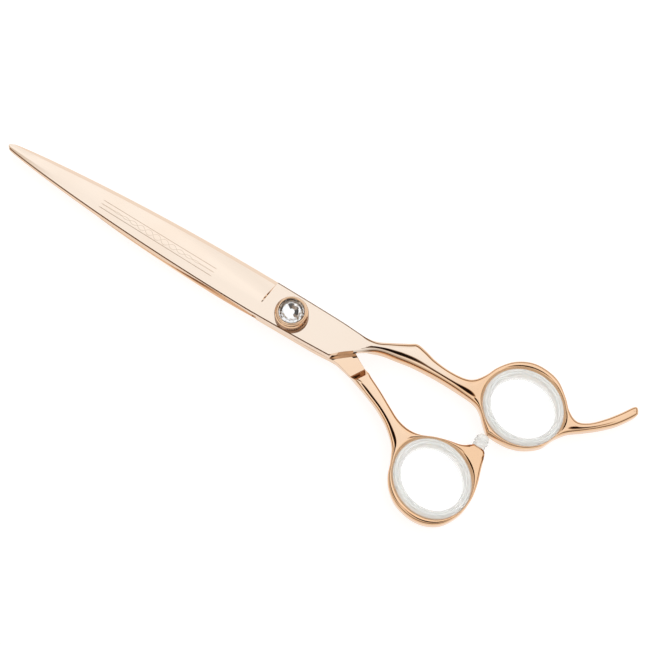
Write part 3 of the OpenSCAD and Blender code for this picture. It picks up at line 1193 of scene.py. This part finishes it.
def upper_half() -> Half:
    """The upper half, with the finger shank, ring and curved finger rest."""
    return Half(
        name="finger_half", body="finger_side", side=Side.UPPER,
        runs=[
            [(-8, 6.7), (5, 6.65), (15, 6.5), (21, 6.2), (24, 6.25), (27, 7.2), (30, 9.1), (35, 12.1),
             (37.5, 13.4), (41, 12.8), (45, 11.7), (50, 11.2), (55, 11.6), (58, 13), (60.3, 16.2), (62, 20),
             (65.3, 24.2), (70, 26.9), (75, 27.4), (80, 26.2), (84.5, 22.8), (87.5, 19.8), (91, 18.3),
             (94.5, 19.9), (98, 23.6), (101, 27.7), (103.2, 31.2), (104.3, 31.85), (105.25, 30.8),
             (105.3, 29.2), (102, 24), (98, 19.8), (94, 16.4), (90.5, 13.6), (88, 10.2), (85.8, 5.6),
             (82, 2.4), (78, 0.7), (74, 0.2), (71, 0.25), (69.6, 0.4), (67, 2.6), (64.5, 5), (61.5, 6.5),
             (56, 7), (48, 7.1), (40, 6.5), (34, 5.4), (30, 4.6), (27, 3.5), (24, 1.4), (20, -1.8),
             (16.5, -4.8)],
            [(16.5, -4.8), (10, -5.1), (0, -5.5), (-8, -5.76)],
        ],
        heel_edge=[(-12, 6.7), (-8, 6.7)], heel_spine=[(-13, -5.88), (-8, -5.76)],
        ring_centre=(75, 13.3), ring_turn=-9, ring_size=(12.75, 11.5),
        step_at=(26, 5), step_dir=(1, 0), round_from=24, thin_from=54, thin_to=66,
        inner_walls=(0.2, 0.5), inner_wall_x=(30.0, 50.0), spine_draft=0.21,
    )


def lower_half() -> Half:
    """The lower half, with the thumb shank, ring and lug, shaped before it is turned over."""
    return Half(
        name="thumb_half", body="thumb_side", side=Side.LOWER,
        runs=[
            [(-8, 5.49), (10, 5.2), (17, 4.75), (20, 4.9), (25, 6.2), (27.5, 7.1), (32, 8.7), (38, 11.1),
             (43, 14.1), (47.2, 18), (49.6, 22.5), (51.3, 26.8), (54, 30.3), (58, 32.9), (63.5, 34.08),
             (68.5, 33.38), (72.8, 30.6), (75.6, 25.5), (76.3, 20), (75.6, 15), (74, 10), (72.4, 5.4),
             (71, 4.6)],
            [(71, 4.6), (68.2, 4.6)],
            [(68.2, 4.6), (67.8, 5), (65, 6.6), (61, 7.6), (57, 8.9), (53, 10.6), (49, 11.1), (45, 10.3),
             (41, 8.4), (36, 5.8), (30, 2.9), (25, 0.3), (20, -2.5), (15, -4.8), (9, -6), (0, -6.35),
             (-8, -6.58)],
        ],
        heel_edge=[(-12, 5.5), (-8, 5.49)], heel_spine=[(-13, -6.68), (-8, -6.58)],
        ring_centre=(63, 20.3), ring_turn=22, ring_size=(12.75, 11.25),
        step_at=(27.5, 7.1), step_dir=(0.8645, 0.5026), round_from=20, thin_from=43, thin_to=55,
        inner_walls=(0.66, 0.52), inner_wall_x=(34.0, 50.0), crisp_at=(70.5, 5.0),
        edge_pull=0.7, edge_trim=0.5,
    )


# ----------------------------------------------------------------------------------------------------
# Soft parts


@dataclass
class RingInsert:
    """Clear silicone lining of one ring, turned on a round lathe and pressed to the oval."""

    name: str
    body: str
    centre: Point
    size: Point
    turn: float
    wide: float = 100.0
    steps: int = 160
    section: list[Point] = field(default_factory=lambda: [
        (0.0, 1.5), (0.0, 5.5), (0.12, 5.95), (0.3, 6.1), (0.34, 6.5), (0.5, 6.82), (0.75, 6.97),
        (1.0, 6.93), (1.15, 6.75), (1.25, 6.66), (1.38, 6.74), (1.6, 6.86), (1.85, 6.76), (2.1, 6.4),
        (2.32, 5.7), (2.45, 4.7), (2.5, 3.5), (2.45, 2.3), (2.32, 1.3), (2.1, 0.6), (1.85, 0.24),
        (1.6, 0.14), (1.25, 0.34), (1.0, 0.07), (0.75, 0.03), (0.5, 0.18), (0.34, 0.5), (0.3, 0.9),
        (0.12, 1.05),
    ])

    def build(self, finish: bpy.types.Material) -> bpy.types.Object:
        """Builds the insert and dresses it."""
        bm = spun([(self.wide - q, z) for q, z in self.section], self.steps)
        spin = Matrix.Rotation(math.radians(self.turn), 2)
        for v in bm.verts:
            g = math.atan2(v.co.y, v.co.x)
            q = self.wide - v.co.xy.length
            flat = spin @ Vector(((self.size[0] - q) * math.cos(g), (self.size[1] - q) * math.sin(g)))
            v.co.x, v.co.y = self.centre[0] + flat.x, self.centre[1] + flat.y
        crease(bm, 60.0)
        return finished(bm, self.name + "_lining", self.body, self.name, "clear_silicone", [finish])


@dataclass
class Bumper:
    """Clear ribbed silencer between the rings, with its stem in the lug."""

    x: float = 69.6
    steps: int = 64
    section: list[Point] = field(default_factory=lambda: [
        (0.0, -5.95), (0.8, -5.95), (0.95, -5.8), (0.95, -4.55), (1.8, -4.55), (2.0, -4.45), (2.1, -4.2),
        (2.1, -3.6), (2.0, -3.35), (1.8, -3.2), (1.8, -3.05), (2.05, -2.9), (2.25, -2.65), (2.28, -2.3),
        (2.2, -2.05), (1.9, -1.9), (1.88, -1.78), (2.1, -1.6), (2.15, -1.3), (2.0, -0.85), (1.7, -0.45),
        (1.25, -0.12), (0.7, 0.06), (0.0, 0.1),
    ])

    def build(self, finish: bpy.types.Material) -> bpy.types.Object:
        """Builds the bumper and dresses it."""
        bm = spun(self.section, self.steps, Lathe.ACROSS)
        bmesh.ops.translate(bm, vec=(self.x, 0, MEETING), verts=bm.verts)
        crease(bm, 50.0)
        return finished(bm, "bumper_ribbed", "thumb_side", "bumper", "clear_silicone", [finish])


# ----------------------------------------------------------------------------------------------------
# Dial


@dataclass(frozen=True)
class Tier:
    """A ring of like facets.

    Attributes:
        count: How many facets there are.
        shift: The first facet's turn, in shares of the spacing.
        slope: Slope of the facets, in degrees.
        r, z: Radius and height of a point on each facet's plane.
    """

    count: int
    shift: float
    slope: float
    r: float
    z: float


@dataclass
class Dial:
    """The tension dial: knurled nut, polished bezel and round crystal.

    Attributes:
        knurls, groove, groove_power, groove_steps: Number, depth, sharpness and fineness of the knurls.
        nut: Radius, height and share of the groove's depth for each ring of the nut.
        rim: Radius and height of each corner of the bezel.
        facet_turn: Turn of the whole crystal, in degrees.
        girdle_r, blank_z, blank_depth, table_z: The blank that the crystal is cut from, and its table.
        crown, back: The tiers of facets above and below.
    """

    knurls: int = 48
    groove: float = 0.24
    groove_power: float = 1.5
    groove_steps: int = 6
    facet_turn: float = 11.0
    girdle_r: float = 4.08
    blank_z: float = 10.5
    blank_depth: float = 3.0
    table_z: float = 11.53
    nut: list[tuple] = field(default_factory=lambda: [
        (1.8, 8.25, 0), (4.8, 8.25, 0), (4.8, 7.35, 0), (4.98, 7.35, 0), (5.08, 7.4, 0), (5.22, 7.62, 1),
        (5.3, 7.74, 1), (5.3, 9.35, 1), (5.24, 9.45, 1), (5.18, 9.53, 0), (4.84, 9.98, 0), (4.8, 10.06, 0),
        (4.74, 10.1, 0), (4.3, 10.1, 0), (4.3, 9.2, 0), (1.8, 9.2, 0),
    ])
    rim: list[Point] = field(default_factory=lambda: [
        (0.0, 9.2), (4.3, 9.2), (4.3, 10.1), (4.55, 10.1), (4.66, 10.2), (4.7, 10.4), (4.7, 10.85),
        (4.66, 11.08), (4.56, 11.26), (4.42, 11.37), (4.26, 11.4), (4.12, 11.35), (4.0, 11.24),
        (3.93, 11.1), (3.88, 11.0), (3.95, 10.9), (4.1, 10.78), (4.1, 9.5), (0.0, 9.5),
    ])
    crown: list[Tier] = field(default_factory=lambda: [
        Tier(8, 0.0, 22.5, 4.1, 10.78), Tier(16, 0.5, 29.0, 4.02, 10.78), Tier(8, 0.5, 12.9, 3.1, 11.29),
    ])
    back: list[Tier] = field(default_factory=lambda: [
        Tier(24, 0.5, 27.0, 4.08, 10.62), Tier(16, 0.0, 19.0, 3.45, 10.32), Tier(24, 0.5, 12.5, 2.7, 10.05),
        Tier(12, 0.0, 7.0, 1.8, 9.88), Tier(8, 0.5, 2.5, 1.0, 9.78),
    ])

    def build_nut(self, finish: bpy.types.Material) -> bpy.types.Object:
        """Builds the knurled nut: rings of a fine polygon, drawn in at each groove."""
        bm = bmesh.new()
        per = self.groove_steps
        count = self.knurls * per
        rings = []
        for r, z, knurled in self.nut:
            places = []
            for i in range(count):
                g = 2 * math.pi * i / count
                wave = (1 - abs(2 * (i % per) / per - 1)) ** self.groove_power
                size = r - self.groove * wave * knurled
                places.append(Vector((size * math.cos(g), size * math.sin(g), z)))
            rings.append(places)
        ring = first_ring(bm, rings[0], True)
        for places in rings[1:] + rings[:1]:
            ring = sweep(bm, ring, places, True)
        close_up(bm)
        crease(bm, 34.0)
        names = ("tension_dial_knurled", "dial_side", "tension_dial", "rose_gold_dial")
        return finished(bm, *names, [finish])

    def build_rim(self, finish: bpy.types.Material) -> bpy.types.Object:
        """Builds the bezel."""
        bm = spun(self.rim, 128)
        crease(bm, 40.0)
        names = ("crystal_bezel_polished", "dial_side", "crystal_bezel", "rose_gold_dial")
        return finished(bm, *names, [finish])

    @staticmethod
    def cut(bm: bmesh.types.BMesh, turn: float, tier: Tier, up: int) -> None:
        """Cuts one facet and closes it: a plane that slopes towards the girdle.

        Args:
            bm: The crystal's mesh.
            turn: The facet's direction, in degrees.
            tier: The tier that it belongs to.
            up: 1 for the crown, -1 for the back.
        """
        g, s = math.radians(turn), math.radians(tier.slope)
        normal = Vector((math.sin(s) * math.cos(g), math.sin(s) * math.sin(g), up * math.cos(s)))
        at = Vector((tier.r * math.cos(g), tier.r * math.sin(g), tier.z))
        made = bmesh.ops.bisect_plane(
            bm, geom=with_edges(list(bm.faces)), dist=CUT_GAP, plane_co=at, plane_no=normal, clear_outer=True
        )
        rim = [e for e in made["geom_cut"] if isinstance(e, bmesh.types.BMEdge)]
        if rim:
            bmesh.ops.contextual_create(bm, geom=rim)

    def build_crystal(self, glass: bpy.types.Material, foil: bpy.types.Material) -> bpy.types.Object:
        """Builds the crystal out of a round blank.

        Args:
            glass: Material of the crown.
            foil: Material of the back.

        Returns:
            The piece.
        """
        bm = bmesh.new()
        r = self.girdle_r
        bmesh.ops.create_cone(bm, cap_ends=True, segments=64, radius1=r, radius2=r, depth=self.blank_depth)
        bmesh.ops.translate(bm, vec=(0, 0, self.blank_z), verts=bm.verts)
        table = Tier(1, 0.0, 0.0, 0.0, self.table_z)
        for up, tiers in ((1, [*self.crown, table]), (-1, self.back)):
            for tier in tiers:
                for i in range(tier.count):
                    self.cut(bm, 360 / tier.count * (i + tier.shift) + self.facet_turn, tier, up)
        close_up(bm)
        for face in bm.faces:
            face.smooth = False
            face.material_index = 1 if face.normal.z < -0.3 else 0
        return finished(bm, "crystal_cut", "dial_side", "crystal", "crystal", [glass, foil])


# ----------------------------------------------------------------------------------------------------
# Inside of the pivot, kept as the CAD made it


class InnerFinish(Enum):
    """What the pieces inside the pivot are made of."""

    STEEL = "plain_steel"
    BRONZE = "bronze"
    SHEET = "white_washer"


PIVOT_PIECES: dict[str, InnerFinish] = {
    "pivot_bolt": InnerFinish.STEEL,
    "spring_washer": InnerFinish.STEEL,
    "click_plate": InnerFinish.STEEL,
    "pivot_bush": InnerFinish.BRONZE,
    "blade_washer": InnerFinish.SHEET,
    "thrust_washer": InnerFinish.SHEET,
}


def dress_pivot() -> None:
    """Gives the CAD pieces of the pivot their finishes."""
    finishes = {
        InnerFinish.STEEL: TurnedMetal("plain_steel_turned", rgb(0.62, 0.62, 0.63)).make(),
        InnerFinish.BRONZE: TurnedMetal("bronze_turned", rgb(0.66, 0.44, 0.2), 0.28).make(),
        InnerFinish.SHEET: WasherSheet("washer_sheet").make(),
    }
    for name, kind in PIVOT_PIECES.items():
        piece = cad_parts[name]
        piece.data.materials.clear()
        piece.data.materials.append(finishes[kind])
        LOG.info("%s: %s", name, kind.value)


# ----------------------------------------------------------------------------------------------------
# Studio


@dataclass
class Studio:
    """A white studio: pale floor, white surroundings with two dark gaps, and a warm dark band low down.

    Attributes:
        target, distance, elevation, azimuth, lens: The camera's view, in metres and degrees.
        sky: Strength of the surroundings.
        gaps: The two ends and the reach of each dark gap, seen from straight above.
        gap_edge: Colours from the middle of a gap to its edge.
        floor_half, floor_drop, floor_tone, floor_glow: Size, depth, grey and own light of the floor.
        camera_side, camera_dim: Where the surroundings are darker, and by how much.
        fold_depth: Unevenness of the low surroundings.
        bands: Colours of the surroundings from the floor up.
    """

    target: tuple = (0.00875, 0.00394, 0.0035)
    distance: float = 0.554
    elevation: float = 73.0
    azimuth: float = -57.7
    lens: float = 100.0
    sky: float = 1.22
    gaps: list[tuple] = field(default_factory=lambda: [
        ((0.17, -0.26), (0.14, -0.25), 0.345), ((-0.42, -0.34), (-0.6, 0.2), 0.235),
    ])
    gap_edge: list[tuple] = field(default_factory=lambda: [
        (0.0, (0.008, 0.005, 0.004)), (0.6, (0.01, 0.006, 0.004)), (0.78, (0.16, 0.09, 0.05)),
        (0.9, (0.62, 0.5, 0.38)), (1.0, (1.0, 1.0, 1.0)),
    ])
    floor_half: float = 2.5
    floor_drop: float = 0.00005
    floor_tone: float = 0.38
    floor_glow: float = 0.8
    camera_side: tuple = (0.53, -0.85, 0.0)
    camera_dim: float = 0.45
    fold_depth: float = 0.5
    bands: list[tuple] = field(default_factory=lambda: [
        (0.0, (0.42, 0.30, 0.20)), (0.05, (0.26, 0.16, 0.09)), (0.28, (0.22, 0.13, 0.07)),
        (0.38, (0.78, 0.68, 0.58)), (0.52, (1.0, 0.99, 0.98)), (0.85, (1.0, 1.0, 1.0)),
        (1.0, (0.96, 0.96, 0.96)),
    ])

    def direction(self) -> Vector:
        """Direction from the object to the camera."""
        e, a = math.radians(self.elevation), math.radians(self.azimuth)
        return Vector((math.cos(e) * math.cos(a), math.cos(e) * math.sin(a), math.sin(e)))

    def camera(self) -> None:
        """Makes the camera."""
        data = bpy.data.cameras.new("studio_camera")
        data.lens, data.sensor_width = self.lens, 36.0
        data.clip_start, data.clip_end = 0.01, 20.0
        cam = bpy.data.objects.new("studio_camera", data)
        bpy.context.scene.collection.objects.link(cam)
        cam.location = Vector(self.target) + self.direction() * self.distance
        cam.rotation_euler = (-self.direction()).to_track_quat("-Z", "Y").to_euler()
        bpy.context.scene.camera = cam

    def floor(self) -> None:
        """Makes the pale floor."""
        bm = bmesh.new()
        bmesh.ops.create_grid(bm, x_segments=2, y_segments=2, size=self.floor_half)
        bmesh.ops.translate(bm, vec=(0, 0, -self.floor_drop), verts=bm.verts)
        mesh = bpy.data.meshes.new("floor")
        bm.to_mesh(mesh)
        bm.free()
        floor = bpy.data.objects.new("floor", mesh)
        bpy.context.scene.collection.objects.link(floor)
        sheet = Coat("floor_pale")
        sheet.set(
            Base_Color=rgb(*[self.floor_tone] * 3), Roughness=0.9, Specular_IOR_Level=0.0,
            Emission_Color=rgb(1, 1, 1), Emission_Strength=self.floor_glow,
        )
        mesh.materials.append(sheet.material)

    @staticmethod
    def off_line(sheet: Sheet, x: Signal, y: Signal, a: Point, b: Point) -> Signal:
        """Distance of a direction from one dark gap's middle line, seen from straight above.

        Args:
            sheet: The world's node sheet.
            x: The direction's part along X.
            y: Its part along Y.
            a: One end of the line.
            b: The other end.

        Returns:
            The distance.
        """
        dx, dy = b[0] - a[0], b[1] - a[1]
        share = ((x - a[0]) * dx + (y - a[1]) * dy) / (dx * dx + dy * dy)
        share = sheet.node("ShaderNodeClamp", {}, {0: share})
        ex, ey = x - (share * dx + a[0]), y - (share * dy + a[1])
        return sheet.node("ShaderNodeMath", {"operation": "SQRT"}, {0: ex * ex + ey * ey})

    @staticmethod
    def ramp(sheet: Sheet, stops: list[tuple], at: Signal) -> Signal:
        """Colours along a run of stops."""
        return sheet.node("ShaderNodeValToRGB", {"stops": [(t, rgb(*c)) for t, c in stops]}, {0: at})

    def world(self) -> None:
        """Makes the surroundings: bands by height, less light from the camera's side, folds and gaps."""
        world = bpy.data.worlds.new("white_studio")
        bpy.context.scene.world = world
        world.use_nodes = True
        sheet = Sheet(world.node_tree)
        way = sheet.node("ShaderNodeTexCoord", {}, {}, "Generated")
        x, y, up = (sheet.part(way, name) for name in "XYZ")
        front = sheet.node(
            "ShaderNodeVectorMath", {"operation": "DOT_PRODUCT"}, {0: way, 1: self.camera_side}, "Value"
        )
        folds = sheet.node("ShaderNodeTexNoise", {}, {"Vector": way, "Scale": 2.6, "Detail": 2.0})
        light = 1.0 - front.rise(0.25, 0.75) * (1.0 - up.rise(0.55, 0.85)) * self.camera_dim
        light = light * (1.0 + (folds - 0.5) * self.fold_depth * (1.0 - up.rise(0.75, 0.92)))
        off: Value = 1.0
        for a, b, reach in self.gaps:
            near = self.off_line(sheet, x, y, a, b) / reach
            off = sheet.node("ShaderNodeMath", {"operation": "MINIMUM"}, {0: off, 1: near})
        bands, gaps = self.ramp(sheet, self.bands, up), self.ramp(sheet, self.gap_edge, off)
        shares = {0: up.rise(0.3, 0.45), 6: bands, 7: gaps}
        tone = sheet.node("ShaderNodeMix", {"data_type": "RGBA", "blend_type": "MULTIPLY"}, shares, 2)
        back = sheet.node("ShaderNodeBackground", {}, {"Color": tone, "Strength": light * self.sky})
        sheet.node("ShaderNodeOutputWorld", {}, {0: back}, None)

    def build(self) -> None:
        """Sets up the whole studio."""
        self.camera()
        self.floor()
        self.world()
        bpy.context.scene.view_settings.view_transform = "Standard"


def main() -> None:
    """Builds the shears and the studio."""
    logging.basicConfig(level=logging.INFO, format="%(message)s")
    Studio().build()
    steel = RoseGoldPolish("rose_gold_blade", engraved=True).make()
    lower_steel = RoseGoldPolish("rose_gold_lower", blade_colour=rgb(0.81, 0.61, 0.45)).make()
    dial_gold = RoseGoldPolish("rose_gold_dial", blade_colour=rgb(0.80, 0.57, 0.39), knurled=True).make()
    silicone = ClearSilicone("clear_silicone_soft").make()
    upper_half().build(steel)
    lower_half().build(lower_steel)
    RingInsert("finger_ring_insert", "finger_side", (75, 13.3), (12.75, 11.5), -9).build(silicone)
    RingInsert("thumb_ring_insert", "thumb_side", (63, -20.3), (12.75, 11.25), -22).build(silicone)
    Bumper().build(silicone)
    dial = Dial()
    dial.build_nut(dial_gold)
    dial.build_rim(dial_gold)
    dial.build_crystal(CutCrystal("crystal_clear").make(), FoilBacking("crystal_foil").make())
    dress_pivot()


if __name__ == "__main__":
    main()
